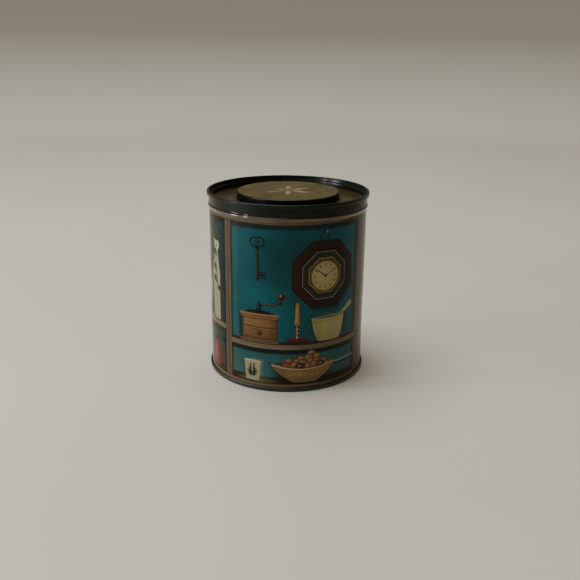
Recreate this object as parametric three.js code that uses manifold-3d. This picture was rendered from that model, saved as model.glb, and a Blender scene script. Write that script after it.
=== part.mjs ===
// Round two-piece-lid coffee tin in printed tinplate, millimetres, +Z up.
// The origin is the centre of the ring that the tin stands on.

import * as THREE from 'three';
import { mergeVertices } from 'three/addons/utils/BufferGeometryUtils.js';
import Module from 'manifold-3d';

const wasm = await Module();
wasm.setup();

// ---------- Driving dimensions ----------

const bodyRadius = 64.6; // outside of the straight wall
const overallHeight = 151.5; // foot of the bottom seam to the crest of the lid's rim
const tinplate = 0.3; // thickness of every sheet

// Double seams, the same on the bottom end and on the lid
const seamHeight = 3.4; // crest to the foot of the rolled edge
const seamGap = 0.2; // space between neighbouring layers
const compoundRoom = 0.3; // space above the hooks, where the sealing compound lies
const compoundClearance = 0.07; // left on each side of the compound
const crestBend = 0.7; // middle-line radius at the two corners of the crest
const hookOverlap = 0.15; // how far the cover hook stays short of the bend that it points into

// Lid
const lidClearance = 0.08; // between the skirt and the wall that it slips over
const skirtDepth = 9; // crest of the rim to the lower edge of the skirt
const seatClearance = 0.1; // between that edge and the bead that it stops on
const recessDepth = 7.6; // crest of the rim down to the annular floor
const recessClearance = 0.3; // between the recess and the hemmed mouth
const recessBend = 1; // middle-line radius where the recess wall meets the floor
const discRadius = 41.8; // outside of the raised centre's side wall
const discDrop = 1.05; // crest of the rim down to the top of the raised centre
const discBend = 0.9; // middle-line radius at the raised centre's two bends

// Body wall
const beadHalfHeight = 2; // strength bead just under the lid
const beadRise = 1.2; // how far it stands out of the wall
const neckHeight = 4.6; // top of the bead to the hemmed mouth
const hemLength = 3; // fold at the mouth, turned to the inside
const hemGap = 0.1; // space between the two layers of the fold

// Bottom end
const countersinkDepth = 3.9; // foot of the seam up to the groove round the panel
const countersinkWidth = 2.6; // floor of that groove
const chuckBend = 1; // middle-line radius between that floor and the chuck wall
const panelStep = 0.9; // the panel stands this much lower than the groove
const expansionRings = [44, 30]; // radii of the raised rings in the panel
const ringHalfWidth = 2.4; // half of a raised ring's foot
const ringRise = 0.6; // height of a raised ring

// Side seam of the body and lap joint of the skirt, both on one facet at the back right
const seamFacet = 5; // counted from +X towards +Y
const lockWidth = 3.2; // width of the folded layers
const lockLayers = 3; // layers that stand inside the wall
const lockMargin = 3; // plain lapped ends above the bottom end and below the bead
const lapWidth = 4; // width of the skirt's overlap
const solderLeg = 0.8; // side of the solder fillet in the body
const lapSolderLeg = 0.28; // side of the solder fillet on the skirt
const solderClearance = 0.05; // between the solder and the sheet that it joins

// Roundness
const segments = 48; // flat facets round the tin, a multiple of four
const bendSteps = 2; // straight steps in a quarter bend
const turnSteps = 4; // straight steps in a half turn

// ---------- Worked-out places ----------

const skirtInnerRadius = bodyRadius + lidClearance;
const skirtRadius = skirtInnerRadius + tinplate;
const skirtEdge = overallHeight - skirtDepth;
const beadHeight = skirtEdge - seatClearance - beadHalfHeight;
const mouthHeight = beadHeight + beadHalfHeight + neckHeight;
const hemInnerRadius = bodyRadius - 2 * tinplate - hemGap;
const lockLow = countersinkDepth + tinplate + lockMargin;
const lockHigh = beadHeight - beadHalfHeight - lockMargin;
const lapHigh = overallHeight - seamHeight - seamGap;
const facetRatio = Math.cos(Math.PI / segments); // centre of a facet to its corners
const seamBearing = (seamFacet + 0.5) * ((2 * Math.PI) / segments);
const seamTurn = seamBearing - Math.PI / 2; // from +Y, where the strips are drawn

// ---------- Outlines in the radius-height plane ----------

function at(radius, height) {
  return new THREE.Vector2(radius, height);
}

// Points along an arc, from one bearing to another in degrees.
function bend(centre, radius, from, to, steps) {
  const points = [];
  for (let i = 0; i <= steps; i += 1) {
    const angle = THREE.MathUtils.degToRad(from + ((to - from) * i) / steps);
    points.push(at(centre.x + radius * Math.cos(angle), centre.y + radius * Math.sin(angle)));
  }
  return points;
}

// A smooth outward swelling of a wall: hollow foot, round crown, hollow foot, going up.
function bead(radius, height, halfHeight, rise) {
  const slope = 2 * Math.atan(rise / halfHeight);
  const reach = halfHeight / Math.sin(slope);
  const crown = reach * 0.6;
  const foot = reach - crown;
  const degrees = THREE.MathUtils.radToDeg(slope);
  return [
    ...bend(at(radius + foot, height - halfHeight), foot, 180, 180 - degrees, 2),
    ...bend(at(radius + rise - crown, height), crown, -degrees, degrees, 4).slice(1, -1),
    ...bend(at(radius + foot, height + halfHeight), foot, 180 + degrees, 180, 2),
  ];
}

// Offsets a middle line sideways, with mitred corners.
function offset(middle, distance) {
  return middle.map((point, i) => {
    const before = middle[Math.max(i - 1, 0)];
    const after = middle[Math.min(i + 1, middle.length - 1)];
    const arriving = i > 0 ? point.clone().sub(before).normalize() : null;
    const leaving = i < middle.length - 1 ? after.clone().sub(point).normalize() : null;
    const first = arriving ?? leaving;
    const second = leaving ?? arriving;
    const normal = at(-(first.y + second.y), first.x + second.x).normalize();
    const reach = distance / normal.dot(at(-first.y, first.x));
    return point.clone().addScaledVector(normal, reach);
  });
}

// The closed outline of a sheet of even thickness that follows a middle line.
function sheetOutline(middle, thickness) {
  const right = offset(middle, -thickness / 2);
  const left = offset(middle, thickness / 2).reverse();
  if (middle[0].x === 0) return [...right, ...left];
  return [...right, ...left, right[0].clone()];
}

// Turns an outline round +Z.
function revolve(outline) {
  return new THREE.LatheGeometry(outline, segments).rotateX(Math.PI / 2);
}

// The two sheets and the compound of a double seam on a wall of the given outer radius.
// Heights are given as depths from the crest and mapped by place(); both sheets run from
// the wall side to the tip of their hooks.
function doubleSeam(wallRadius, place) {
  const pitch = tinplate + seamGap;
  const wall = wallRadius - tinplate / 2;
  const chuckWall = wall - pitch;
  const coverHook = wall + pitch;
  const wallHook = coverHook + pitch;
  const outside = wallHook + pitch;
  const crestDepth = tinplate / 2;
  const wallTurn = at(coverHook, tinplate + compoundRoom + tinplate / 2 + pitch);
  const footTurn = at(wallHook, seamHeight - tinplate / 2 - pitch);
  const cover = [
    ...bend(at(chuckWall + crestBend, crestDepth + crestBend), crestBend, 180, 270, bendSteps),
    ...bend(at(outside - crestBend, crestDepth + crestBend), crestBend, 270, 360, bendSteps),
    ...bend(footTurn, pitch, 0, 180, turnSteps),
    at(coverHook, wallTurn.y + hookOverlap),
  ];
  const hook = [
    ...bend(wallTurn, pitch, 180, 360, turnSteps),
    at(wallHook, footTurn.y - hookOverlap),
  ];
  const compoundRadius = pitch + tinplate / 2 + compoundRoom / 2;
  const compound = bend(wallTurn, compoundRadius, 250, 290, bendSteps);
  return {
    chuckWall,
    cover: cover.map(place),
    hook: hook.map(place),
    compound: compound.map(place),
  };
}

const compoundThickness = compoundRoom - 2 * compoundClearance;
const lidSeam = doubleSeam(skirtRadius, (p) => at(p.x, overallHeight - p.y));
const bottomSeam = doubleSeam(bodyRadius, (p) => p);

// ---------- Solids ----------

function solidFrom(geometry) {
  const bare = geometry.clone();
  bare.deleteAttribute('normal');
  bare.deleteAttribute('uv');
  const merged = mergeVertices(bare);
  return new wasm.Manifold(new wasm.Mesh({
    numProp: 3,
    vertProperties: new Float32Array(merged.attributes.position.array),
    triVerts: new Uint32Array(merged.index.array),
  }));
}

function geometryFrom(solid) {
  const mesh = solid.getMesh();
  const geometry = new THREE.BufferGeometry();
  geometry.setAttribute('position', new THREE.BufferAttribute(mesh.vertProperties, 3));
  geometry.setIndex(new THREE.BufferAttribute(mesh.triVerts, 1));
  geometry.computeVertexNormals();
  return geometry;
}

// A flat strip on the seam's facet, between two distances from the axis.
function facetStrip(width, inner, outer, low, high) {
  const strip = new THREE.BoxGeometry(width, outer - inner, high - low);
  strip.translate(0, (inner + outer) / 2, (low + high) / 2);
  return strip.rotateZ(seamTurn);
}

// Body wall: hook of the bottom seam, straight wall, strength bead and hemmed mouth.
function bodyWall() {
  const wall = bodyRadius - tinplate / 2;
  const fold = (tinplate + hemGap) / 2;
  const middle = [
    ...bottomSeam.hook.slice().reverse(),
    ...bead(wall, beadHeight, beadHalfHeight, beadRise),
    ...bend(at(wall - fold, mouthHeight - tinplate / 2 - fold), fold, 0, 180, turnSteps),
    at(wall - 2 * fold, mouthHeight - hemLength),
  ];
  const sheet = revolve(sheetOutline(middle, tinplate));
  const face = (bodyRadius - tinplate) * facetRatio;
  const lock = facetStrip(
    lockWidth,
    face - lockLayers * tinplate,
    face + tinplate / 2,
    lockLow,
    lockHigh,
  );
  return geometryFrom(solidFrom(sheet).add(solidFrom(lock)));
}

// Bottom end: stepped panel with two raised rings, groove, chuck wall and rolled edge.
function bottomEnd() {
  const groove = countersinkDepth;
  const panel = groove - panelStep;
  const chuck = bottomSeam.chuckWall;
  const grooveEdge = chuck - countersinkWidth;
  const rings = expansionRings.toReversed().flatMap((radius) => [
    at(radius - ringHalfWidth, panel),
    at(radius - ringHalfWidth / 2, panel + ringRise),
    at(radius + ringHalfWidth / 2, panel + ringRise),
    at(radius + ringHalfWidth, panel),
  ]);
  const middle = [
    at(0, panel),
    ...rings,
    at(grooveEdge - panelStep, panel),
    at(grooveEdge, groove),
    ...bend(at(chuck - chuckBend, groove - chuckBend), chuckBend, 90, 0, bendSteps),
    ...bottomSeam.cover,
  ];
  return revolve(sheetOutline(middle, tinplate));
}

// Lid cover: raised centre, annular floor, recess wall and rolled edge.
function lidCover() {
  const top = overallHeight - discDrop - tinplate / 2;
  const floor = overallHeight - recessDepth - tinplate / 2;
  const side = discRadius - tinplate / 2;
  const recess = hemInnerRadius - recessClearance - tinplate / 2;
  const shoulder = overallHeight - seamHeight + tinplate;
  const middle = [
    at(0, top),
    ...bend(at(side - discBend, top - discBend), discBend, 90, 0, bendSteps),
    ...bend(at(side + discBend, floor + discBend), discBend, 180, 270, bendSteps),
    ...bend(at(recess - recessBend, floor + recessBend), recessBend, -90, 0, bendSteps),
    at(recess, shoulder - (lidSeam.chuckWall - recess)),
    at(lidSeam.chuckWall, shoulder),
    ...lidSeam.cover,
  ];
  return revolve(sheetOutline(middle, tinplate));
}

// Lid skirt: plain ring with its lap joint and the hook of the lid's seam.
function lidSkirt() {
  const middle = [at(skirtRadius - tinplate / 2, skirtEdge), ...lidSeam.hook];
  const ring = revolve(sheetOutline(middle, tinplate));
  const face = skirtRadius * facetRatio;
  const lap = facetStrip(lapWidth, face - tinplate / 2, face + tinplate, skirtEdge, lapHigh);
  return geometryFrom(solidFrom(ring).add(solidFrom(lap)));
}

// A fillet of solder along the edge of a strip, as a prism on the seam's facet.
function solderFillet(name, edge, face, leg, outward, low, high, material) {
  const corner = at(edge + solderClearance, face + outward * solderClearance);
  const section = new THREE.Shape([
    corner,
    at(corner.x + leg, corner.y),
    at(corner.x, corner.y + outward * leg),
  ]);
  const fillet = new THREE.ExtrudeGeometry(section, { depth: high - low, bevelEnabled: false });
  const mesh = new THREE.Mesh(fillet, material);
  mesh.name = name;
  mesh.position.z = low;
  mesh.rotation.z = seamTurn;
  return mesh;
}

// ---------- Materials ----------

const printed = { roughness: 0.3, metalness: 0.1 };
const tealPrint = new THREE.MeshStandardMaterial({ color: 0x16707c, ...printed });
const greenEnamel = new THREE.MeshStandardMaterial({ color: 0x2b332c, ...printed });
const goldLacquer = new THREE.MeshStandardMaterial({ color: 0xa08a4c, roughness: 0.35, metalness: 0.7 });
const darkPlate = new THREE.MeshStandardMaterial({ color: 0x34352f, roughness: 0.4, metalness: 0.6 });
const bodySolder = new THREE.MeshStandardMaterial({ color: 0x8d8f90, roughness: 0.5, metalness: 0.9 });
const skirtSolder = new THREE.MeshStandardMaterial({ color: 0x85888a, roughness: 0.5, metalness: 0.9 });
const bottomCompound = new THREE.MeshStandardMaterial({ color: 0x7c6a55, roughness: 0.9 });
const lidCompound = new THREE.MeshStandardMaterial({ color: 0x74634f, roughness: 0.9 });

// ---------- Assembly ----------

const tin = new THREE.Group();
const canister = new THREE.Group();
const lid = new THREE.Group();
tin.add(canister, lid);

function addPiece(group, name, geometry, material) {
  const mesh = new THREE.Mesh(geometry, material);
  mesh.name = name;
  group.add(mesh);
}

addPiece(canister, 'body_wall', bodyWall(), tealPrint);
addPiece(canister, 'bottom_end', bottomEnd(), darkPlate);
addPiece(
  canister,
  'bottom_seam_compound',
  revolve(sheetOutline(bottomSeam.compound, compoundThickness)),
  bottomCompound,
);
canister.add(solderFillet(
  'side_seam_solder',
  lockWidth / 2,
  (bodyRadius - tinplate) * facetRatio,
  solderLeg,
  -1,
  lockLow,
  lockHigh,
  bodySolder,
));

addPiece(lid, 'lid_cover', lidCover(), goldLacquer);
addPiece(lid, 'lid_skirt', lidSkirt(), greenEnamel);
addPiece(
  lid,
  'lid_seam_compound',
  revolve(sheetOutline(lidSeam.compound, compoundThickness)),
  lidCompound,
);
lid.add(solderFillet(
  'lid_skirt_solder',
  lapWidth / 2,
  skirtRadius * facetRatio,
  lapSolderLeg,
  1,
  skirtEdge,
  lapHigh,
  skirtSolder,
));

export default tin;
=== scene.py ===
import math
from math import cos, pi, radians, sin, sqrt

import bmesh
import bpy
from bpy.props import FloatProperty, FloatVectorProperty, IntProperty, PointerProperty
from mathutils import Matrix, Vector


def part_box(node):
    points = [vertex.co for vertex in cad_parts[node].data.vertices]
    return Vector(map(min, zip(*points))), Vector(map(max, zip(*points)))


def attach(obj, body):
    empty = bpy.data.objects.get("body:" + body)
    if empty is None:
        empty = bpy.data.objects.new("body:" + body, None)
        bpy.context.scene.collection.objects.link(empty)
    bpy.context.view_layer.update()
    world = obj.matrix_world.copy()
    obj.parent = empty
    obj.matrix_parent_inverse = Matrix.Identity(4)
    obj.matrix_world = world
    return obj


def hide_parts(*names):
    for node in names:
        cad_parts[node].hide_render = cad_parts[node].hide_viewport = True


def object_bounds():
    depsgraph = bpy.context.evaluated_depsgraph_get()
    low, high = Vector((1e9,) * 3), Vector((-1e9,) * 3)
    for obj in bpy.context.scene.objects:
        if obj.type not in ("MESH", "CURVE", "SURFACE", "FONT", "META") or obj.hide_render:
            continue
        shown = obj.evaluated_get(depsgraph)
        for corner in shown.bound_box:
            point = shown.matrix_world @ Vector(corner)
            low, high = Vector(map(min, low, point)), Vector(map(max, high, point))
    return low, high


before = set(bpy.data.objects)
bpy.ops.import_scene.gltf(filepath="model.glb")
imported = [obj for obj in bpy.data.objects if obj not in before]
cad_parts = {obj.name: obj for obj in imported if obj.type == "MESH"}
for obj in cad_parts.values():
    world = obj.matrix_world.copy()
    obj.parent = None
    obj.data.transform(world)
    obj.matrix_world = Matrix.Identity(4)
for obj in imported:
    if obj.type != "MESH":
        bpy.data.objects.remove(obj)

bl_info = {
    "name": "Coffee Tin",
    "version": (1, 0, 0),
    "blender": (4, 5, 0),
    "location": "View3D > Sidebar > Tin",
    "description": "Builds a printed tinplate coffee tin with a lift-off lid",
    "category": "Add Mesh",
}

CAD_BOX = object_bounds()
MM = 0.001
BOARD = (0.06, 0.06, 1)  # stretch of wood grain that runs round the tin
POST = (1, 1, 0.06)  # and of grain that runs up it

LOOP_OFFSETS = (-0.4 * MM, -0.2 * MM, 0.0, 0.2 * MM, 0.4 * MM)  # loops beside the seam line
SEAM_LINE_HALF = 0.15 * MM  # half width of the line that the seam leaves in the wall
SEAM_LINE_DEPTH = 0.2 * MM
SEAM_LINE_START = 6 * MM  # its lower end
PANEL_STOPS = (0, 6 * MM, 14 * MM, 22 * MM)  # loops in the flat middle of the base
RING_RADII = (30 * MM, 44 * MM)  # expansion rings in the base
RING_REACH = 11.5 * MM  # from a ring's middle to the next loop outwards

LENS = 45.98  # focal length of the camera, for a sensor that is 36 wide
SENSOR = 36
CAMERA_PLACE = (0.0386, -9.306, 4.119)  # in body radii from the middle of the foot
CAMERA_PITCH = radians(71.43)
CAMERA_ROLL = 0.0119
LOOK_AT = Vector((0, 0, 0.08))  # where the lights point
DAYLIGHT = (0.92, 0.95, 1.0)
DAYLIGHT_STRENGTH = 0.16
PANES = ((191, 0.22), (210.5, 0.12))  # bearing in degrees and width of each window pane
PANE_REACH = 1.1  # distance from the tin's axis
PANE_HEIGHT = 0.36  # of its middle
PANE_TALL = 0.4
PANE_POWER = 26  # for each metre of width
PANE_TINT = (0.95, 0.98, 1.0)
CEILING_PLACE = Vector((-0.5, 0.3, 2.4))
CEILING_SIZE = (1.8, 1.8)
CEILING_POWER = 55
CEILING_TINT = (1.0, 0.95, 0.87)


# ---------------------------------------------------------------------------
# Sizes and colours
# ---------------------------------------------------------------------------

def length(name, description, default):
    """A size in metres that the sidebar shows."""
    return FloatProperty(
        name=name, description=description, default=default, unit="LENGTH", precision=5, min=0.0,
    )


def paint(name, description, code):
    """A colour given as a hex code of the printed ink."""
    return FloatVectorProperty(
        name=name, description=description, default=linear(code), subtype="COLOR",
        size=3, min=0.0, max=1.0,
    )


def linear(code):
    """Scene-linear red, green and blue of a six-digit hex code."""
    channels = (int(code[i:i + 2], 16) / 255 for i in (0, 2, 4))
    return tuple(c / 12.92 if c < 0.04045 else ((c + 0.055) / 1.055) ** 2.4 for c in channels)


def bearing_of(node):
    """Bearing of a node's middle round the tin, from +X towards +Y."""
    low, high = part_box(node)
    return math.atan2(low.y + high.y, low.x + high.x)


class TinSizes(bpy.types.PropertyGroup):
    """Sizes of the sheet metal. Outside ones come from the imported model."""

    rim_height: length("Rim height", "Top of the lid's rim", CAD_BOX[1].z)
    rim_radius: length("Rim radius", "Outside of the lid's seam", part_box("lid_cover")[1].x)
    foot_radius: length("Foot radius", "Outside of the bottom seam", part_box("bottom_end")[1].x)
    skirt_edge: length("Skirt edge", "Lower edge of the lid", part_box("lid_skirt")[0].z)
    mouth_height: length("Mouth height", "Top of the body wall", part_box("body_wall")[1].z)
    lid_floor: length("Lid floor", "Underside of the recess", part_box("lid_cover")[0].z)
    groove_height: length("Groove height", "Top of the base groove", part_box("bottom_end")[1].z)
    tinplate: length("Tinplate", "Thickness of every sheet", 0.3 * MM)
    seam_height: length("Seam height", "Height of a double seam", 3.4 * MM)
    seam_gap: length("Seam gap", "Space between the layers of a seam", 0.2 * MM)
    compound_room: length("Compound room", "Space above the hooks of a seam", 0.3 * MM)
    compound: length("Compound", "Thickness of the sealing compound", 0.16 * MM)
    crest_bend: length("Crest bend", "Corner radius at a seam's crest", 0.7 * MM)
    hook_overlap: length("Hook overlap", "How far a hook stays short of a bend", 0.15 * MM)
    bead_half: length("Bead half height", "Half height of the strength bead", 2 * MM)
    bead_rise: length("Bead rise", "How far the bead stands out", 1.2 * MM)
    seat: length("Seat", "Gap between the lid's edge and the bead", 0.1 * MM)
    hem_length: length("Hem length", "Depth of the fold at the mouth", 3 * MM)
    hem_gap: length("Hem gap", "Space inside the fold", 0.1 * MM)
    recess_gap: length("Recess gap", "Space between the recess and the mouth", 0.3 * MM)
    recess_bend: length("Recess bend", "Corner radius of the recess floor", 1 * MM)
    disc_radius: length("Disc radius", "Outside of the raised centre", 41.8 * MM)
    disc_drop: length("Disc drop", "Rim to the top of the raised centre", 1.05 * MM)
    disc_bend: length("Disc bend", "Bend radius of the raised centre", 0.9 * MM)
    groove_width: length("Groove width", "Width of the base groove", 2.6 * MM)
    panel_step: length("Panel step", "Step from the groove to the panel", 0.9 * MM)
    ring_half: length("Ring half width", "Half width of an expansion ring", 2.4 * MM)
    ring_rise: length("Ring rise", "Height of an expansion ring", 0.6 * MM)
    lock_width: length("Lock width", "Width of the side seam's fold", 3.2 * MM)
    lap_width: length("Lap width", "Width of the skirt's overlap", 4 * MM)
    steps: IntProperty(name="Steps", description="Faces round the tin", default=240, min=48)

    @property
    def pitch(self):
        return self.tinplate + self.seam_gap

    @property
    def body_radius(self):
        return self.foot_radius - 3 * self.pitch

    @property
    def skirt_radius(self):
        return self.rim_radius - 3 * self.pitch

    @property
    def bead_height(self):
        return self.skirt_edge - self.seat - self.bead_half

    @property
    def disc_top(self):
        return self.rim_height - self.disc_drop


class TinColours(bpy.types.PropertyGroup):
    """Inks, lacquers and metals."""

    teal: paint("Teal", "Back of the painted shelves", "065059")
    teal_deep: paint("Deep teal", "Shaded back of the shelves", "022a2d")
    shade: paint("Shade", "Painted shadows", "040807")
    wood: paint("Wood", "Front edges of the painted shelves", "5f513e")
    wood_dark: paint("Dark wood", "Grain and shelf tops", "271c10")
    wood_light: paint("Light wood", "Worn corners of the shelves", "766850")
    door: paint("Door", "Painted cupboard door", "2e2c20")
    iron: paint("Iron", "Key, hopper and hinges", "0a0d0e")
    brass: paint("Brass", "Bezel and hinges", "766133")
    mahogany: paint("Mahogany", "Lit side of the clock case", "37120a")
    walnut: paint("Walnut", "Clock case", "1c0c08")
    walnut_dark: paint("Dark walnut", "Shaded side of the clock case", "0d0604")
    beech: paint("Beech", "Coffee mill and spoon", "745537")
    beech_dark: paint("Dark beech", "Shaded side of the mill", "462b14")
    dial: paint("Dial", "Clock dial", "938452")
    wax: paint("Wax", "Candle", "84693a")
    crimson: paint("Crimson", "Mill knob and candle saucer", "451715")
    lantern: paint("Lantern red", "Storage jar", "651e16")
    stoneware: paint("Stoneware", "Mortar", "948d5c")
    cream: paint("Cream", "Tumbler and vase", "7e8168")
    leaf: paint("Leaf", "Sprigs", "0d180f")
    rush: paint("Rush", "Basket", "927a50")
    nut: paint("Nut", "Nuts in the basket", "7a5030")
    green: paint("Green enamel", "Lid rim and skirt", "0c1410")
    # painted shade: the recess floor has the same gold print as the raised centre, and this darker
    # gold stands in for the shade in the recess
    shaded_gold: paint("Deep gold", "Floor of the lid's recess", "50441f")
    gold: paint("Gold print", "Raised centre of the lid", "5a4c19")
    petal: paint("Petal", "Flower on the lid", "a09a87")
    lacquer: paint("Lacquer", "Inside of the tin", "9a8350")
    tin: paint("Tin", "Bare tinplate", "6e6b64")
    rust: paint("Rust", "Rust specks", "38200f")
    floor: paint("Floor", "Table", "dcd8cc")
    wall: paint("Wall", "Backdrop above the table", "8f8d82")


# ---------------------------------------------------------------------------
# Shader expressions
# ---------------------------------------------------------------------------

class Wire:
    """A node's output that takes part in arithmetic and adds the nodes for it."""

    def __init__(self, surface, socket):
        self.surface = surface
        self.socket = socket

    def join(self, operation, *values):
        wires = [v for v in values if isinstance(v, Wire)]
        vectors = any(w.socket.type == "VECTOR" for w in wires)
        kind = "ShaderNodeVectorMath" if vectors else "ShaderNodeMath"
        return self.surface.node(kind, {"operation": operation}, values)

    def __add__(self, other):
        return self.join("ADD", self, other)

    __radd__ = __add__

    def __sub__(self, other):
        return self.join("SUBTRACT", self, other)

    def __rsub__(self, other):
        return self.join("SUBTRACT", other, self)

    def __mul__(self, other):
        return self.join("MULTIPLY", self, other)

    __rmul__ = __mul__

    def __truediv__(self, other):
        return self.join("DIVIDE", self, other)

    def __pow__(self, other):
        return self.join("POWER", self, other)

    def __neg__(self):
        return self.join("MULTIPLY", self, -1)

    def __abs__(self):
        return self.join("ABSOLUTE", self)

    def least(self, other):
        return self.join("MINIMUM", self, other)

    def most(self, other):
        return self.join("MAXIMUM", self, other)

    def line(self, factor, offset):
        """self * factor + offset."""
        return self.join("MULTIPLY_ADD", self, factor, offset)

    def scaled(self, factor, offset=0.0):
        """self * factor + offset, held between 0 and 1."""
        return self.surface.node("ShaderNodeClamp", None, (self.line(factor, offset),))

    def sine(self):
        return self.join("SINE", self)

    def cosine(self):
        return self.join("COSINE", self)

    def floor(self):
        return self.join("FLOOR", self)

    def fraction(self):
        return self.join("FRACT", self)

    def distance(self, other):
        return self.join("DISTANCE", self, other)

    def size(self):
        return self.join("LENGTH", self)


class Surface:
    """A material whose nodes are added by expressions."""

    def __init__(self, name):
        self.material = bpy.data.materials.new(name)
        self.material.use_nodes = True
        self.tree = self.material.node_tree
        self.tree.nodes.clear()
        shader = self.node("ShaderNodeBsdfPrincipled")
        self.shader = shader.socket.node
        self.node("ShaderNodeOutputMaterial", values={"Surface": shader})
        self.place = self.node("ShaderNodeTexCoord", output="Object")

    def node(self, kind, settings=None, values=(), output=None):
        """Adds a node, makes its settings, then feeds its sockets, by order or by name."""
        node = self.tree.nodes.new(kind)
        for name, setting in (settings or {}).items():
            setattr(node, name, setting)
        sockets = [s for s in node.inputs if s.enabled]
        pairs = values.items() if isinstance(values, dict) else enumerate(values)
        for key, value in pairs:
            by_name = isinstance(key, str)
            socket = next(s for s in sockets if s.name == key) if by_name else sockets[key]
            self.feed(socket, value)
        outputs = (s for s in node.outputs if s.enabled and output in (None, s.name))
        return Wire(self, next(outputs, None))

    def feed(self, socket, value):
        if isinstance(value, Wire):
            self.tree.links.new(value.socket, socket)
        elif socket.type == "RGBA":
            socket.default_value = (*value, 1.0)
        elif socket.type == "VECTOR" and isinstance(value, (int, float)):
            socket.default_value = (value,) * 3
        else:
            socket.default_value = value

    def vector(self, x, y, z):
        return self.node("ShaderNodeCombineXYZ", None, (x, y, z))

    def parts(self, vector):
        """The X, Y and Z of a vector."""
        first = self.node("ShaderNodeSeparateXYZ", None, (vector,))
        return [Wire(self, s) for s in first.socket.node.outputs]

    def blend(self, factor, first, second):
        settings = {"data_type": "RGBA", "clamp_factor": True}
        values = {"Factor": factor, "A": first, "B": second}
        return self.node("ShaderNodeMix", settings, values)

    def noise(self, scale, detail=2.0, roughness=0.5, stretch=(1, 1, 1), shift=(0, 0, 0)):
        """Noise in the tin's own space, with its scale in grains per metre."""
        place = self.place
        if stretch != (1, 1, 1) or shift != (0, 0, 0):
            values = {"Vector": place, "Location": shift, "Scale": stretch}
            place = self.node("ShaderNodeMapping", {"vector_type": "POINT"}, values)
        values = {"Vector": place, "Scale": scale, "Detail": detail, "Roughness": roughness}
        return self.node("ShaderNodeTexNoise", None, values)

    def bump(self, height, distance, strength=1.0):
        values = {"Height": height, "Distance": distance, "Strength": strength}
        return self.node("ShaderNodeBump", None, values)

    def finish(self, **sockets):
        """Feeds the shader's sockets, named with underscores for spaces."""
        for name, value in sockets.items():
            self.feed(self.shader.inputs[name.replace("_", " ")], value)
        return self.material


def cover(distance, soft=0.3, opacity=1.0):
    """The opacity inside a shape and 0 or less outside it, from a distance in millimetres."""
    return distance.line(-opacity / soft, opacity / 2).least(opacity)


class Canvas:
    """A flat picture in millimetres, u to the right and z up, laid from back to front."""

    def __init__(self, surface, u, z, ground):
        self.surface = surface
        self.u = u
        self.z = z
        self.p = surface.vector(u, z, 0)
        self.colour = ground

    def disc(self, centre, radius):
        return self.p.distance((*centre, 0)) - radius

    def ring(self, centre, radius, width):
        return abs(self.disc(centre, radius)) - width / 2

    def oval(self, centre, half):
        inner = (self.p - (*centre, 0)) * (1 / half[0], 1 / half[1], 0)
        return inner.size().line(min(half), -min(half))

    def box(self, centre, half):
        across = abs(self.u - centre[0]) - half[0]
        return across.most(abs(self.z - centre[1]) - half[1])

    def span(self, low_u, high_u, low_z, high_z):
        """A box given by its edges."""
        centre = ((low_u + high_u) / 2, (low_z + high_z) / 2)
        return self.box(centre, ((high_u - low_u) / 2, (high_z - low_z) / 2))

    def taper(self, centre_u, low_z, high_z, low_half, high_half):
        """An upright shape whose half width changes evenly from the bottom to the top."""
        slope = (high_half - low_half) / (high_z - low_z)
        half = self.z.line(slope, low_half - slope * low_z)
        sides = abs(self.u - centre_u) - half
        return sides.most(abs(self.z - (low_z + high_z) / 2) - (high_z - low_z) / 2)

    def octagon(self, centre, reach):
        x, y = abs(self.u - centre[0]), abs(self.z - centre[1])
        return x.most(y).most((x + y) * sqrt(0.5)) - reach

    def rod(self, start, end, width, end_width=None):
        """A round-ended stroke that may taper."""
        along = Vector((*end, 0)) - Vector((*start, 0))
        rest = self.p - (*start, 0)
        share = rest.join("DOT_PRODUCT", rest, along / along.length_squared).scaled(1)
        nearest = self.surface.node(
            "ShaderNodeVectorMath", {"operation": "SCALE"}, {"Vector": along, "Scale": share},
        )
        away = rest.distance(nearest)
        if end_width is None:
            return away - width / 2
        return away - (share * ((end_width - width) / 2) + width / 2)

    def lay(self, distance, colour, soft=0.3, opacity=1.0):
        """Paints a colour inside a shape."""
        if isinstance(opacity, Wire):
            mask = distance.scaled(-1 / soft, 0.5) * opacity
        elif opacity == 1.0:
            mask = distance.line(-1 / soft, 0.5)
        else:
            mask = cover(distance, soft, opacity)
        self.colour = self.surface.blend(mask, self.colour, colour)

    def turn(self, distance, colour, centre_u, half, opacity=0.7):
        """Shades the right side of a round thing."""
        self.lay(distance, colour, opacity=(self.u - centre_u).scaled(opacity / half, -0.1))


# ---------------------------------------------------------------------------
# The painted cupboard
# ---------------------------------------------------------------------------

class Cupboard:
    """Places in the printed picture, in millimetres round and up the tin."""

    left = -48.3  # inner edges of the wide bay
    right = 63.0
    post = 6.7  # width of an upright
    narrow = 74.6  # inner width of the narrow bay
    top = 136.2  # underside of the top board
    board_top = 141.4
    foot = 6.0  # top of the bottom board
    shelf_high = 39.8
    shelf_low = 36.1
    side_shelf_high = 48.5
    side_shelf_low = 44.8
    far_left = left - post - narrow  # inner edge of the narrow bay
    half_turn = post + narrow + post + (right + 3.7 - left)


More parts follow.
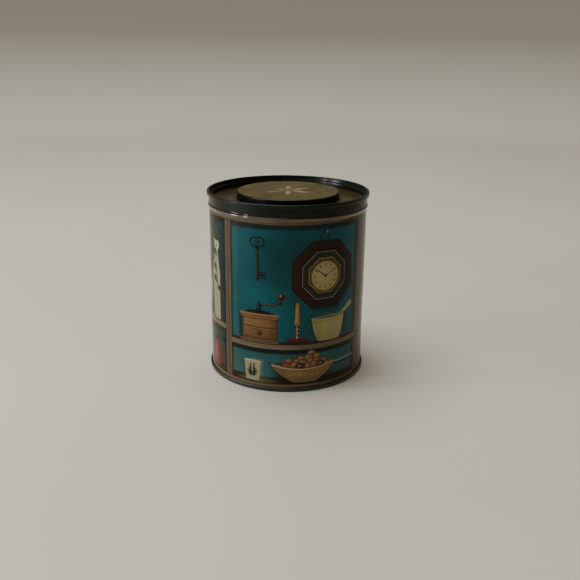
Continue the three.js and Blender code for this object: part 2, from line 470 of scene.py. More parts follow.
def back_board(c, ink):
    """The teal back of the shelves with the shadows that the frame throws on it, and a faint painted
    sheen down the left of the wide bay.
    """
    k = Cupboard
    c.lay(c.span(k.far_left, 80, k.top - 4.0, 150), ink.shade, soft=1.6, opacity=0.88)
    c.lay(c.u - (k.left + 1.6), ink.shade, soft=1.2, opacity=0.8)
    # painted sheen: a faint cream band down the left of the wide bay stands in for a reflection of the
    # window light
    c.lay(abs(c.u - k.left - 5) - 2, ink.cream, soft=4, opacity=0.06)
    c.lay(c.oval((8, 112), (30, 26)), ink.teal_deep, soft=26, opacity=0.55)
    c.lay(c.z - 30, ink.stoneware, soft=50, opacity=0.1)
    c.lay(k.right - 1.2 - c.u, ink.shade, soft=1.6, opacity=0.93)
    c.lay(c.span(-60, 70, k.shelf_low - 4, k.shelf_low + 1), ink.shade, soft=1.2, opacity=0.92)


def shelf_tops(c, ink):
    """The dark tops of the two shelves, seen a little from above."""
    k = Cupboard
    c.lay(c.span(k.left, k.right + 4, k.shelf_high - 1, k.shelf_high + 2.7), ink.wood_dark)
    c.lay(c.span(k.left, k.right + 4, k.foot - 1, k.foot + 5.8), ink.wood_dark)


def key(c, ink):
    """An iron key with a two-lobed bow that hangs on the back board."""
    lobes = c.disc((-25.7, 122.3), 3.5).least(c.disc((-21.1, 122.3), 3.5))
    bow = abs(lobes) - 0.6
    curls = c.ring((-24.8, 122.2), 1.2, 0.6).least(c.ring((-22.1, 122.2), 1.2, 0.6))
    collar = c.box((-23.4, 117.6), (1.5, 1.0))
    shaft = c.rod((-23.4, 118), (-23.0, 92.4), 1.7)
    bit = c.box((-19.5, 96.5), (3.3, 2.8)).most(0.28 - abs(abs(c.z - 96.5) - 1.3))
    c.lay(c.rod((-22.4, 117), (-22.0, 92), 1.8), ink.shade, soft=1.5, opacity=0.5)
    c.lay(bow.least(curls).least(collar).least(shaft), ink.iron, soft=0.5)
    c.lay(bit.least(c.box((-22.4, 96.5), (0.8, 2.8))), ink.iron, soft=0.5, opacity=0.85)
    c.lay(c.rod((-23.7, 116), (-23.4, 95), 0.4), ink.wood_light, opacity=0.35)


def clock(c, ink):
    """An eight-sided wall clock with a moulded case, a brass bezel and a plain dial."""
    middle = (30.8, 96.7)
    low_middle = (30.9, 95.9)
    dial = (30.95, 95.3)
    c.lay(c.ring((29.6, 127.0), 3.7, 1.1), ink.iron, opacity=0.7)
    c.lay(c.disc((31.6, 130.3), 0.7), ink.petal, soft=0.8, opacity=0.8)
    c.lay(c.octagon((middle[0] + 1.8, middle[1] - 2.0), 26.6), ink.shade, soft=3, opacity=0.75)
    case = c.octagon(middle, 26.6)
    c.lay(case, ink.walnut)
    x, y = c.u - middle[0], c.z - middle[1]
    bearing = x.join("ARCTAN2", y, x)
    facet = bearing.line(4 / pi, 0.5).floor() * (pi / 4)
    tilt = (facet - radians(-60)).cosine()
    c.lay(case, ink.walnut_dark, opacity=tilt.scaled(0.45, 0.42))
    c.lay(case, ink.mahogany, opacity=(facet - radians(185)).cosine().scaled(0.9, -0.35))
    c.lay(case, ink.beech_dark, opacity=c.surface.noise(900, 3, 0.6, BOARD).scaled(1.5, -0.75))
    c.lay(abs(case) - 0.4, ink.walnut_dark, opacity=0.85)
    c.lay(abs(case + 1.6) - 0.25, ink.mahogany, opacity=0.5)
    c.lay(abs(case + 6.8) - 0.3, ink.walnut_dark)
    inner = c.octagon(low_middle, 19.1)
    c.lay(inner, ink.walnut_dark)
    c.lay(abs(inner + 0.4) - 0.2, ink.petal, opacity=0.7)
    for depth, opacity in ((2.0, 0.5), (3.7, 0.4)):
        c.lay(abs(inner + depth) - 0.12, ink.cream, opacity=opacity)
    c.lay(inner + 5.1, ink.walnut)
    c.lay(abs(inner + 5.4) - 0.35, ink.dial, opacity=0.8)
    c.lay(inner + 6.2, ink.brass, soft=1, opacity=0.35)
    face = c.disc(dial, 11.5)
    c.lay(face - 1.1, ink.walnut_dark, opacity=0.9)
    c.lay(abs(face - 0.5) - 0.3, ink.brass)
    c.lay(face, ink.dial)
    c.lay(face + 2.5, ink.petal, soft=7, opacity=0.3)
    x, y = c.u - dial[0], c.z - dial[1]
    hour = x.join("ARCTAN2", y, x).line(6 / pi, 0.5).fraction() - 0.5
    mark = (abs(hour * 4.6) - 0.5).most(abs(face + 2.3) - 0.95)
    c.lay(mark, ink.iron, soft=0.6, opacity=0.8)
    c.lay(abs(face + 4.4) - 0.12, ink.wood_dark, opacity=0.35)
    c.lay(c.rod(dial, (dial[0] - 8.2, dial[1] + 6.3), 0.9, 0.5), ink.iron)
    c.lay(c.rod(dial, (dial[0] + 9.0, dial[1] + 5.3), 0.75, 0.4), ink.iron, opacity=0.85)
    c.lay(c.disc(dial, 0.9), ink.iron)


def mill(c, ink):
    """A box coffee mill with a drawer, an iron hopper and a crank."""
    c.lay(c.span(-39.5, -7.0, 42, 64), ink.shade, soft=3, opacity=0.8)
    dome = c.oval((-22.6, 65), (11, 3.0)).least(c.box((-22.4, 65.2), (12.4, 0.7)))
    c.lay(dome.least(c.taper(-21.8, 65, 73.2, 3.0, 1.5)), ink.iron)
    for u in (-31, -27.5, -17.5, -14):
        c.lay(c.rod((u, 65), (u + 0.4, 68.4), 1.3, 0.5), ink.iron)
    c.lay(c.oval((-22.4, 70.5), (0.8, 2.2)), ink.teal, soft=0.8, opacity=0.6)
    c.lay(c.rod((-22, 73.4), (-22, 75.2), 1.2), ink.iron)
    c.lay(c.rod((-22, 71.6), (-4.4, 74.3), 1.1, 1.8), ink.iron)
    c.lay(c.rod((-18, 72.4), (-6.4, 74.2), 0.4), ink.stoneware, opacity=0.35)
    c.lay(c.rod((-3.8, 74.3), (-4.1, 77.5), 1.0), ink.iron)
    c.lay(c.disc((-4.0, 79.6), 3.0), ink.crimson)
    c.lay(c.disc((-3.3, 78.8), 2.2), ink.walnut_dark, soft=2, opacity=0.4)
    c.lay(c.disc((-4.8, 80.7), 0.8), ink.petal, soft=0.9, opacity=0.6)
    joints = abs(abs(c.u + 22.0) - 13.9) - 1.0
    joints = joints.most(abs(c.z - 51.8) - 9)
    c.lay(joints, ink.walnut_dark)
    c.lay(joints.most(abs((c.z * 0.55).fraction() - 0.5) * 1.8 - 0.45), ink.beech, opacity=0.7)
    box = c.span(-35.2, -8.7, 42.6, 61)
    c.lay(box, ink.beech)
    c.lay(box.most(54 - c.z), ink.wax, opacity=0.3)
    c.lay(box.most(c.z - 53.5), ink.beech_dark, opacity=0.3)
    c.lay(box, ink.beech_dark, opacity=c.surface.noise(1200, 3, 0.6, BOARD).scaled(2.4, -1.0))
    c.lay(box.most(-12 - c.u), ink.beech_dark, soft=4, opacity=0.6)
    c.lay(c.span(-35.2, -8.7, 53.3, 54.0), ink.walnut_dark, opacity=0.85)
    c.lay(c.span(-35.2, -8.7, 52.5, 53.1), ink.wood_light, opacity=0.4)
    c.lay(c.span(-35.2, -8.7, 43.6, 45.2), ink.beech_dark, soft=0.8, opacity=0.8)
    c.lay(c.disc((-21.3, 48.5), 2.3), ink.beech_dark, soft=1.2, opacity=0.8)
    c.lay(c.disc((-21.5, 48.8), 1.4), ink.walnut)
    c.lay(c.disc((-21.9, 49.2), 0.5), ink.wax, soft=0.6, opacity=0.7)
    for edges, colour, opacity in (
        ((-37.6, -7.2, 60.6, 62.6), ink.beech, 1.0),
        ((-37.6, -7.2, 60.3, 61.0), ink.walnut_dark, 0.8),
        ((-38.8, -5.8, 62.4, 64.9), ink.beech, 1.0),
        ((-38.8, -5.8, 62.2, 62.8), ink.walnut_dark, 0.75),
        ((-38.6, -6.0, 64.0, 64.6), ink.wax, 0.7),
        ((-38.8, -5.6, 40.2, 43.3), ink.walnut, 1.0),
    ):
        c.lay(c.span(*edges), colour, opacity=opacity)
    for height in (41.1, 42.6):
        c.lay(c.span(-38.6, -5.8, height - 0.35, height + 0.35), ink.wood_light, opacity=0.8)


def candle(c, ink):
    """A used candle in a turned holder on a saucer."""
    c.lay(c.oval((9.8, 43.6), (9.6, 2.4)), ink.shade, soft=1.6, opacity=0.7)
    c.lay(c.oval((8.9, 44.3), (8.3, 1.9)), ink.crimson)
    c.lay(c.oval((6.4, 44.8), (4.4, 0.7)), ink.lantern, soft=0.8, opacity=0.6)
    c.lay(c.taper(8.7, 44.5, 57, 1.5, 1.2), ink.iron)
    for height in (46.5, 50, 53.5):
        c.lay(c.oval((8.7, height), (1.9, 0.8)), ink.brass, opacity=0.75)
    c.lay(c.rod((8.3, 45.5), (8.4, 56), 0.7), ink.petal, soft=0.5, opacity=0.85)
    c.lay(c.oval((8.7, 56.9), (2.6, 0.9)), ink.brass)
    stick = c.taper(8.5, 57, 74.4, 2.4, 1.45).least(c.oval((8.5, 74.2), (1.45, 1.2)))
    c.lay(stick - 0.6, ink.walnut, soft=0.5, opacity=0.8)
    c.lay(stick, ink.wax)
    c.turn(stick, ink.beech_dark, 8.4, 2.4, 0.75)
    c.lay(c.rod((7.7, 59), (7.9, 72), 0.9), ink.petal, soft=0.9, opacity=0.45)
    c.lay(c.rod((8.5, 75), (8.8, 77), 0.4), ink.iron)


def mortar(c, ink):
    """A stoneware mortar with its pestle leaning out of it."""
    c.lay(c.rod((46, 59.6), (59.5, 67.9), 3.7, 4.6), ink.shade, soft=1.6, opacity=0.45)
    c.lay(c.rod((44.5, 60.2), (58.3, 68.6), 3.0, 3.9), ink.cream)
    c.lay(c.rod((45.5, 59.3), (59.1, 67.7), 1.2, 1.7), ink.stoneware, soft=1.4, opacity=0.9)
    c.lay(c.rod((46, 61.3), (56.8, 68.9), 0.6), ink.petal, soft=0.6, opacity=0.6)
    depth = (c.z - 41.5).scaled(1 / 20)
    half = (depth ** 0.35) * 8.2 + 7.2
    bowl = (abs(c.u + depth * 0.6 - 35.7) - half).most(abs(c.z - 51.6) - 9.9)
    c.lay(bowl - 0.9, ink.shade, soft=2.6, opacity=0.75)
    c.lay(bowl, ink.stoneware)
    c.lay(bowl.most(c.u - 27), ink.wood_dark, soft=8, opacity=0.3)
    c.lay(bowl.most(c.z - 47), ink.wood_dark, soft=8, opacity=0.25)
    c.lay(bowl.most(abs(c.u - 39) - 4), ink.cream, soft=8, opacity=0.5)
    c.lay(c.oval((35.2, 61.2), (15.3, 1.4)), ink.cream)
    c.lay(c.oval((35.6, 61.2), (13.4, 0.8)), ink.wood_dark, soft=0.7, opacity=0.7)
    c.lay(bowl.most(abs(c.z - 58.2) - 0.3), ink.wood_dark, opacity=0.3)


def tumbler(c, ink):
    """A cream tumbler with a sprig and two buds on it."""
    c.lay(c.taper(-28.9, 7.5, 24.5, 6.1, 7.4), ink.shade, soft=2, opacity=0.8)
    cup = c.taper(-27.7, 8.2, 24.3, 5.8, 7.2)
    cup = cup.least(c.oval((-27.7, 8.3), (5.8, 0.9)))
    c.lay(cup, ink.cream)
    c.lay(cup.most(-24 - c.u), ink.stoneware, soft=6, opacity=0.6)
    c.lay(cup.most(c.u + 32.5), ink.stoneware, soft=3, opacity=0.5)
    c.lay(c.oval((-27.7, 24.3), (7.2, 1.0)), ink.petal)
    c.lay(c.oval((-27.7, 24.2), (6.1, 0.5)), ink.stoneware, soft=0.6, opacity=0.8)
    for side in (-1, 1):
        stem = -27.8 + side * 0.5
        for low, reach, high in ((13.6, 4.6, 16.4), (12.0, 4.0, 13.6), (14.6, 3.1, 18.0)):
            c.lay(c.rod((stem + side * 0.6, low), (-27.8 + side * reach, high), 1.9, 0.6), ink.leaf)
        c.lay(c.rod((stem, 11.6), (stem + side * 0.7, 17.6), 0.45), ink.leaf)
        c.lay(c.rod((stem + side * 0.8, 17.4), (stem + side * 1.1, 21.8), 1.7, 0.9), ink.crimson)


def nuts(c, ink):
    """A pile of nuts, each with its own dark edge and light spot."""
    heap = ((8, 21.8, 5.6, 14.8), (6, 24.9, 5.7, 16.6), (3, 28.3, 6.3, 18.4), (1, 31.2, 5.0, 20.4))
    for number, height, spacing, middle_u in reversed(heap):
        for i in range(number):
            u = middle_u + (i - (number - 1) / 2) * spacing + sin(i * 2.7 + height) * 0.6
            z = height + cos(i * 1.9 + height) * 0.7
            ball = c.disc((u, z), 3.3 + 0.25 * sin(i * 3.1))
            c.lay(ball - 0.45, ink.walnut_dark, soft=0.6)
            c.lay(ball, (ink.nut, ink.beech, ink.beech_dark)[(i * i + number) % 3], soft=0.8)
            c.lay(c.disc((u + 0.8, z - 1.0), 1.3), ink.walnut, soft=2.4, opacity=0.5)
            c.lay(c.disc((u - 0.8, z + 1.0), 0.8), ink.petal, soft=1.8, opacity=0.5)
    c.lay(c.disc((0.2, 24.4), 2.5), ink.lantern, soft=1.2, opacity=0.6)


def basket(c, ink):
    """A shallow rush basket heaped with nuts, with a long light handle."""
    c.lay(c.rod((41, 19.8), (64, 20.0), 1.6), ink.shade, soft=1.4, opacity=0.75)
    c.lay(c.rod((41, 21.6), (64.5, 21.8), 1.4, 1.1), ink.cream)
    c.lay(c.oval((14, 14), (25, 9)), ink.shade, soft=3, opacity=0.6)
    nuts(c, ink)
    across = abs(c.u - 15.0) * (1 / 27.2)
    rim = (across * across).line(4.2, 18.4)
    drop = (rim - c.z) * (1 / 11.0)
    side = across + (drop * drop) * 0.3 + drop * 0.36
    bowl = ((side - 1) * 18).most(c.z - rim).most(7.8 - c.z)
    c.lay(bowl - 0.6, ink.shade, soft=1.2, opacity=0.8)
    c.lay(bowl, ink.rush)
    bands = (drop * 34).sine()
    stakes = (c.u * 1.5 - (c.u - 15.0) * drop * 0.5).sine()
    c.lay(bowl, ink.beech_dark, opacity=(bands * stakes).scaled(0.6, 0.3))
    c.lay(bowl, ink.walnut_dark, opacity=bands.scaled(-1.4, -0.8))
    c.lay(bowl.most(c.z - 11.5), ink.shade, soft=4, opacity=0.3)
    c.lay(bowl.most(c.u), ink.walnut_dark, soft=8, opacity=0.4)
    edge = (abs(c.z - rim - 0.4) - 0.75).most(abs(c.u - 15.0) - 26.8)
    c.lay(edge - 0.4, ink.walnut_dark, opacity=0.7)
    c.lay(edge, ink.rush)
    c.lay((abs(c.z - rim - 0.7) - 0.25).most(abs(c.u - 15.0) - 26), ink.petal, opacity=0.6)


def side_shelf(c, ink):
    """The narrow bay: a vase with leaves and a plate above, a red jar and a crock below."""
    k = Cupboard
    inside = c.u - (k.left - k.post)
    edge = k.far_left
    c.lay(inside.most(k.side_shelf_low - 3.4 - c.z).most(c.z - k.side_shelf_low), ink.shade, soft=1.8)
    c.lay(inside.most(abs(c.z - k.side_shelf_high - 1) - 2.2), ink.wood_dark)
    c.lay(inside.most(abs(c.z - k.foot - 2.4) - 3.3), ink.wood_dark)
    c.lay(c.span(k.left - k.post - 2.2, k.left, 0, 140), ink.shade, soft=3, opacity=0.8)
    c.lay(c.span(edge - 2, edge + 1.6, 0, 140), ink.shade, soft=3, opacity=0.8)
    plate = c.disc((-103, 73.5), 22.5)
    c.lay(c.disc((-101.5, 72), 23), ink.shade, soft=3, opacity=0.6)
    c.lay(plate, ink.cream)
    c.lay(abs(plate + 3.6) - 1.1, ink.teal, opacity=0.75)
    c.lay(abs(plate + 7.0) - 0.35, ink.stoneware)
    c.lay(plate + 7.4, ink.petal, soft=4, opacity=0.6)
    petals = c.ring((-103, 73.5), 5.4, 3.2)
    c.lay(petals, ink.leaf, soft=1.2, opacity=0.6)
    c.lay(c.disc((-103, 73.5), 2.0), ink.crimson)
    for u, reach in ((-118, 9), (-110.5, 7), (-96, 8), (-88.5, 10)):
        c.lay(c.rod((u, 131), (u, 131 - reach), 0.7), ink.iron)
        c.lay(c.oval((u, 126 - reach), (2.9, 5.2)), ink.beech if reach > 8 else ink.brass)
    vase_with_leaves(c, ink)
    red_jar(c, ink)
    crock = c.taper(-103, 8, 30, 13.5, 14.8)
    c.lay(crock - 0.8, ink.shade, soft=2.5, opacity=0.6)
    c.lay(crock, ink.stoneware)
    c.turn(crock, ink.wood_dark, -103, 15, 0.6)
    c.lay(crock.most(abs(c.z - 24.5) - 0.8), ink.teal_deep, opacity=0.8)
    c.lay(c.oval((-103, 31.2), (15.2, 2.6)), ink.beech)
    c.lay(c.oval((-103, 32), (13.6, 1.7)), ink.wood_light, opacity=0.6)
    c.lay(c.disc((-103, 35), 2.4), ink.beech_dark)
    for u in (-124.5, -87.5):
        c.lay(c.disc((u, 11.8), 4.2), ink.crimson)
        c.lay(c.disc((u - 1.2, 13.2), 1.0), ink.petal, soft=1.5, opacity=0.5)


def vase_with_leaves(c, ink):
    """A tall white vase with a climbing sprig painted on it."""
    c.lay(c.taper(-68.2, 50, 96, 7.6, 6.6), ink.shade, soft=3, opacity=0.6)
    vase = c.taper(-69.6, 50.2, 90, 5.4, 6.6).least(c.taper(-69.6, 89, 108, 6.6, 2.6))
    vase = vase.least(c.taper(-69.4, 107, 117, 2.6, 4.2)).least(c.oval((-69.6, 50.4), (5.4, 0.9)))
    c.lay(vase, ink.cream)
    c.turn(vase, ink.stoneware, -69.6, 7, 0.9)
    c.lay(vase.most(c.u + 74), ink.stoneware, soft=4, opacity=0.6)
    c.lay(c.disc((-68.2, 112.4), 4.0), ink.petal)
    c.lay(c.disc((-67.8, 112.2), 1.2), ink.wax)
    leaves = (
        ((-70.5, 119), (-66, 126), 6.0), ((-68, 118), (-62.5, 121), 5.0),
        ((-72, 119), (-77, 124), 4.6), ((-71.5, 106.5), (-68, 103), 4.4),
        ((-71.4, 94), (-69.4, 90), 5.2), ((-71.5, 84), (-67.5, 80), 6.0),
        ((-65.5, 77), (-60.8, 74), 4.4), ((-60.8, 73), (-57.6, 71), 3.0),
    )
    stems = ((-69, 118), (-70.5, 105), (-70.5, 92), (-69, 82), (-64, 75.5))
    for start, end in zip(stems, stems[1:]):
        c.lay(c.rod(start, end, 0.6), ink.leaf)
    for start, end, width in leaves:
        c.lay(c.rod(start, end, width, 1.2), ink.leaf, soft=0.5)
        c.lay(c.rod(start, end, 0.4), ink.stoneware, opacity=0.45)


def red_jar(c, ink):
    """A pear-shaped red jar with a dark lid."""
    jar = c.oval((-70.3, 17.5), (8.6, 9.8)).least(c.taper(-70.0, 20, 31, 7.6, 3.0))
    jar = jar.most(8.2 - c.z)
    c.lay(jar - 0.8, ink.shade, soft=2.5, opacity=0.7)
    c.lay(jar, ink.lantern)
    c.turn(jar, ink.crimson, -70.3, 8.6, 1.2)
    for offset in (-4.8, 0.2, 4.8):
        c.lay(c.rod((-70.3 + offset * 0.5, 29), (-70.3 + offset, 10), 0.5), ink.crimson, opacity=0.7)
    c.lay(c.oval((-72.6, 20), (1.2, 5)), ink.petal, soft=1.8, opacity=0.3)
    c.lay(c.taper(-69.8, 30.5, 34.5, 3.4, 1.6), ink.walnut)


def woodwork(c, ink, surface):
    """Front edges of the shelves, the uprights and the boards round the top and the foot."""
    k = Cupboard
    along = surface.noise(900, 4.0, 0.65, BOARD)
    upright = surface.noise(900, 4.0, 0.65, POST)
    level = surface.blend(along.scaled(3.0, -1.15), ink.wood, ink.wood_dark)
    level = surface.blend(along.scaled(-5.0, 1.85), level, ink.wood_light)
    posts = surface.blend(upright.scaled(2.6, -0.95), ink.wood, ink.wood_dark)
    posts = surface.blend(upright.scaled(-5.0, 1.85), posts, ink.wood_light)
    shelf = c.span(k.left, k.right + 3.7, k.shelf_low, k.shelf_high)
    side = (c.u - (k.left - k.post)).most(abs(c.z - (k.side_shelf_low + k.side_shelf_high) / 2) - 1.85)
    shelves = shelf.least(side)
    c.lay(shelves, level)
    c.lay(shelves, ink.wood_light, opacity=0.35)
    c.lay(abs(shelves + 0.35) - 0.3, ink.wood_light, opacity=0.5)
    left_post = abs(c.u - (k.left - k.post / 2)) - k.post / 2
    right_post = (k.right + 3.7 - c.u).least(c.u - k.far_left)
    frame_posts = left_post.least(right_post)
    c.lay(abs(frame_posts) - 0.45, ink.walnut_dark, opacity=0.85)
    c.lay(frame_posts, posts)
    c.lay(frame_posts, ink.wood_dark, opacity=0.2)
    c.lay(abs(frame_posts + 0.8) - 0.3, ink.wood_light, opacity=0.45)
    boards = (k.top - c.z).least(c.z - k.foot)
    c.lay(abs(boards) - 0.4, ink.walnut_dark, opacity=0.85)
    c.lay(boards, level)
    c.lay(boards.most(c.z - 20), ink.wood_light, opacity=0.4)


def door(c, ink, surface, mask):
    """A closed panelled door in the other narrow bay, with two hinges and a knob."""
    k = Cupboard
    low, high = k.far_left, k.left - k.post
    before = c.colour
    grain = surface.noise(700, 4.0, 0.6, POST)
    c.colour = surface.blend(grain.scaled(2.0, -0.75), ink.door, ink.wood)
    panel = c.span(low + 14, high - 13, 22, 122)
    c.lay(abs(panel + 1.2) - 1.2, ink.wood_dark, soft=1.6, opacity=0.6)
    c.lay(abs(panel + 4.2) - 0.5, ink.wood_light, soft=0.8, opacity=0.8)
    c.lay(panel + 9, ink.wood_light, soft=8, opacity=0.3)
    for height in (87, 48):
        strap = c.span(low + 0.5, low + 11, height - 2.2, height + 2.2)
        c.lay(strap - 0.6, ink.shade, soft=1.6, opacity=0.6)
        c.lay(strap, ink.iron)
        c.lay(c.disc((low + 3, height), 0.7), ink.brass)
        c.lay(c.disc((low + 8.5, height), 0.7), ink.brass)
    c.lay(c.disc((high - 6.5, 69), 3.4), ink.shade, soft=2, opacity=0.6)
    c.lay(c.disc((high - 7, 70), 2.8), ink.brass)
    c.lay(c.disc((high - 7.9, 71), 0.9), ink.petal, soft=1, opacity=0.6)
    c.lay(c.u - low - 0.6, ink.walnut_dark, opacity=0.9)
    c.lay(high - 0.6 - c.u, ink.walnut_dark, opacity=0.9)
    c.colour = surface.blend(mask, before, c.colour)


def worn(surface, colour, ink, near_edge, seed):
    """Chips down to the tin and rust specks where an edge rubs. Returns colour and bare mask."""
    spots = surface.noise(900, 3.0, 0.7, shift=(seed, 0, 0))
    bare = (spots + near_edge * 0.14).scaled(12, -9.0)
    colour = surface.blend(bare, colour, ink.tin)
    grain = surface.noise(2600, 2.0, 0.6, shift=(0, seed, 0))
    rust = (grain + near_edge * 0.12).scaled(16, -11.6)
    return surface.blend(rust, colour, ink.rust), bare


def printed_wall(sizes, ink):
    """Lithographed outside of the body: a cupboard of still life, repeated front and back."""
    surface = Surface("printed wall")
    x, y, height = surface.parts(surface.place)
    radius = sizes.body_radius / MM
    z = height * (1 / MM)
    round_about = x.join("ARCTAN2", x, -y) * radius
    k = Cupboard
    start = k.far_left - k.post
    u = round_about.join("WRAP", round_about, start + k.half_turn, start)
    mottle = surface.noise(38, 4.0, 0.6)
    ground = surface.blend(mottle.scaled(1.6, -0.55), ink.teal, ink.teal_deep)
    c = Canvas(surface, u, z, ground)
    back_board(c, ink)
    shelf_tops(c, ink)
    for item in (key, clock, mill, candle, mortar, tumbler, basket, side_shelf):
        item(c, ink)
    woodwork(c, ink, surface)
    in_narrow = c.span(k.far_left, k.left - k.post, k.foot, k.top).scaled(-5, 0.5)
    other_side = round_about.scaled(5, 0)
    door(c, ink, surface, in_narrow * other_side)
    c.lay(k.board_top - z, ink.green, soft=0.3)
    near = (z - k.board_top + 2.4).scaled(0.5).least((k.board_top + 2.4 - z).scaled(0.5))
    near = near.most((6 - z).scaled(0.4))
    colour, bare = worn(surface, c.colour, ink, near, 0.31)
    smudge = surface.noise(24, 5.0, 0.65)
    fine = surface.noise(900, 2.0, 0.5, POST)
    rough = smudge.scaled(0.35, 0.06) + fine * 0.05
    polish = (2.4 - abs(z - sizes.bead_height / MM)).scaled(1.0) * 0.8 + 0.18
    return surface.finish(
        Base_Color=colour, Roughness=rough, Metallic=bare * 0.6, IOR=1.15,
        Coat_Weight=polish, Coat_Roughness=0.06,
        Normal=surface.bump(smudge, 0.00025, 0.5),
    )


# ---------------------------------------------------------------------------
# Plain finishes
# ---------------------------------------------------------------------------

def green_enamel(sizes, ink):
    """Dark green enamel, rubbed at the crest and at the skirt's lower edge, with a painted shade line
    just under the seam.
    """
    surface = Surface("green enamel")
    _, _, height = surface.parts(surface.place)
    crest = (height - (sizes.rim_height - 1.2 * MM)).scaled(900)
    edge = ((sizes.skirt_edge + 0.8 * MM) - height).scaled(900)
    tone = surface.noise(60, 4.0, 0.6)
    colour = surface.blend(tone.scaled(1.4, -0.4), ink.green, ink.shade)
    # painted shade: a dark line in the enamel 4.4 mm below the crest, where the seam's overhang shades
    # the skirt
    groove = abs(height - (sizes.rim_height - 4.4 * MM)) * 1000
    colour = surface.blend(groove.scaled(-1.6, 1.5), colour, ink.shade)
    colour, bare = worn(surface, colour, ink, crest.most(edge), 0.17)
    return surface.finish(
        Base_Color=colour, Roughness=tone.scaled(0.3, 0.1), Metallic=bare * 0.6, IOR=1.15,
        Coat_Weight=0.25, Coat_Roughness=0.08,
        Normal=surface.bump(tone, 0.0002, 0.5),
    )


def cover_print(sizes, ink):
    """Gold print on the floor and the raised centre, the floor's gold darker as painted shade in the
    recess, green on the rim and the risers.
    """
    surface = Surface("lid print")
    x, y, height = surface.parts(surface.place)
    radius = surface.vector(x, y, 0).size() * (1 / MM)
    c = Canvas(surface, x * (1 / MM), y * (1 / MM), ink.green)
    disc = sizes.disc_radius / MM
    tone = surface.noise(70, 5.0, 0.65)
    gold = surface.blend(tone.scaled(2.2, -0.8), ink.gold, ink.wood_dark)
    stain = surface.noise(34, 4.0, 0.6, shift=(0.4, 0.1, 0))
    # painted shade: the recess floor is laid in the darker gold for the shade in the recess, with
    # brown stains over it
    shaded_floor_gold = surface.blend(tone.scaled(2.2, -0.8), ink.shaded_gold, ink.wood_dark)
    brown = surface.blend(stain.scaled(5, -3.0), shaded_floor_gold, ink.beech_dark)
    floor = abs(radius - (disc + 62.2) / 2 - 0.9) - (62.2 - disc - 1.8) / 2
    c.lay(floor, brown)
    c.lay(radius - (disc - 0.75), gold)
    flower(c, ink)
    crest = (height - (sizes.rim_height - 0.7 * MM)).scaled(1400)
    disc_edge = (1 - abs(radius - disc + 0.7)).scaled(1)
    colour, bare = worn(surface, c.colour, ink, crest.most(disc_edge * 0.8), 0.53)
    streaks = surface.noise(420, 3.0, 0.6, (1, 0.12, 1))
    return surface.finish(
        Base_Color=colour, Roughness=(tone + streaks).scaled(0.25, 0.08),
        Metallic=cover(floor.least(radius - (disc - 0.75)), 0.4) * 0.35 + bare * 0.5,
        IOR=1.22, Coat_Weight=0.15, Coat_Roughness=0.15,
        Normal=surface.bump(tone, 0.0002, 0.4),
    )


def flower(c, ink):
    """A plain six-petalled daisy in the middle of the raised centre."""
    petals = 6
    bearing = c.u.join("ARCTAN2", c.z, c.u)
    swing = (bearing.line(petals / (2 * pi), 0).fraction() - 0.5) * (2 * pi / petals)
    away = c.p.size()
    across = away * swing.sine()
    along = away * swing.cosine()
    shape = (c.surface.vector((along - 10.8) * (1 / 7.6), across * (1 / 2.3), 0).size() - 1) * 2.3
    faded = c.surface.noise(60, 2, 0.5, shift=(0.2, 0.4, 0)).scaled(3.4, -0.85)
    c.lay(shape - 0.5, ink.wood_dark, soft=0.8, opacity=0.35)
    c.lay(shape, ink.petal, soft=0.6, opacity=faded)
    c.lay(shape, ink.wax, soft=1.6, opacity=(along - 10).scaled(-0.12, 0.1))
    c.lay(abs(across) - 0.15, ink.gold, soft=0.5, opacity=shape.scaled(-3, 0) * 0.6)
    c.lay(away - 3.2, ink.wood_dark, soft=1.2, opacity=0.7)
    c.lay(away - 2.4, ink.beech, soft=0.8)
    c.lay(away - 1.2, ink.wax, soft=1.4, opacity=0.7)


def inside_lacquer(ink):
    """Gold lacquer on the inside, tarnished and scratched by what was stored."""
    surface = Surface("inside lacquer")
    stain = surface.noise(30, 6.0, 0.65)
    fine = surface.noise(700, 3.0, 0.6, (1, 1, 0.1))
    colour = surface.blend(stain.scaled(2.4, -0.95), ink.lacquer, ink.beech_dark)
    colour = surface.blend(fine.scaled(5, -3.2), colour, ink.tin)
    return surface.finish(
        Base_Color=colour, Metallic=0.85, Roughness=(stain + fine).scaled(0.35, 0.02),
        Normal=surface.bump(fine, 0.0001, 0.3),
    )


def dark_base(ink):
    """Dark lacquered base, rubbed to the metal where it stands and rusted in the corners."""
    surface = Surface("dark base")
    _, _, height = surface.parts(surface.place)
    land = (0.5 * MM - height).scaled(2400)
    tone = surface.noise(55, 5.0, 0.65)
    scuffs = surface.noise(260, 3.0, 0.7, (1, 0.2, 1))
    colour = surface.blend(tone.scaled(1.8, -0.6), ink.green, ink.shade)
    colour = surface.blend(scuffs.scaled(6, -3.9), colour, ink.wood)
    colour, bare = worn(surface, colour, ink, land, 0.71)
    return surface.finish(
        Base_Color=colour, Metallic=bare * 0.9, Roughness=(tone + scuffs).scaled(0.4, 0.0),
        Coat_Weight=0.3, Coat_Roughness=0.25,
        Normal=surface.bump(scuffs, 0.00015, 0.5),
    )


def grey_solder(ink):
    surface = Surface("grey solder")
    lumps = surface.noise(900, 3.0, 0.6)
    colour = surface.blend(lumps.scaled(2, -0.6), ink.tin, ink.iron)
    return surface.finish(
        Base_Color=colour, Metallic=0.9, Roughness=lumps.scaled(0.5, 0.2),
        Normal=surface.bump(lumps, 0.0002, 0.8),
    )


def seam_compound(ink):
    surface = Surface("seam compound")
    tone = surface.noise(500, 3.0, 0.6)
    colour = surface.blend(tone.scaled(1.5, -0.4), ink.wood, ink.wood_dark)
    return surface.finish(Base_Color=colour, Roughness=0.9, Normal=surface.bump(tone, 0.0001, 0.5))


# ---------------------------------------------------------------------------
# Sheet metal
# ---------------------------------------------------------------------------

